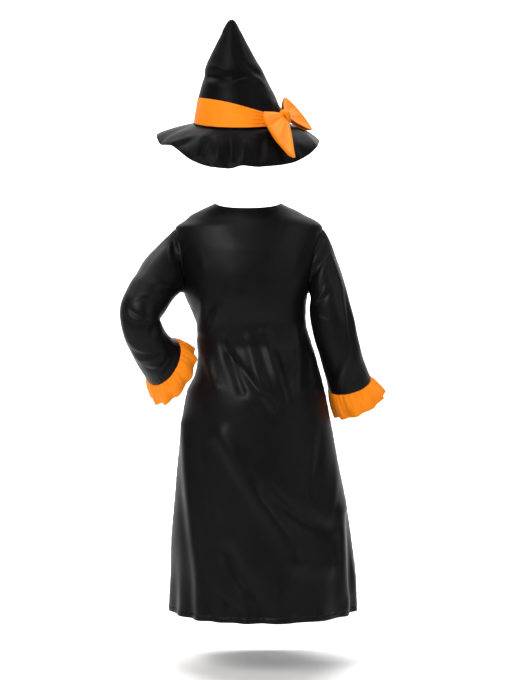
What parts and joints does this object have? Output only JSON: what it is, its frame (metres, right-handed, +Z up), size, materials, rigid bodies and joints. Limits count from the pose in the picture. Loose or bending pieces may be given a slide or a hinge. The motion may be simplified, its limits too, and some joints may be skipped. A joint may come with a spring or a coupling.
{
  "type": "witch costume",
  "caption": "Child's long black witch dress with frilled orange cuffs, as worn, and its pointed hat with a band and bow.",
  "frame": {"origin": "middle of the shoulder line of the dress, where the wearer carries it", "axes": "+Z up, +Y the way the wearer faces, +X towards the wearer's right arm, so the back of the dress faces -Y"},
  "size_m": [0.5663, 0.3565, 1.2554],
  "materials": {
    "black_knit": "smooth satin-faced polyester knit with a soft sheen",
    "black_hat": "polyester satin over a stiff interlining",
    "orange_satin": "smooth bright satin"
  },
  "bodies": {
    "root": {"back_panel": "black_knit", "front_panel": "black_knit", "sleeve_left_upper": "black_knit", "sleeve_left_lower": "black_knit", "sleeve_right_upper": "black_knit", "sleeve_right_lower": "black_knit", "frill_left": "orange_satin", "frill_right": "orange_satin", "hat_crown": "black_hat", "hat_brim": "black_hat", "hat_band": "orange_satin", "bow_wing_left": "orange_satin", "bow_wing_right": "orange_satin", "bow_knot": "orange_satin"}
  },
  "joints": []
}
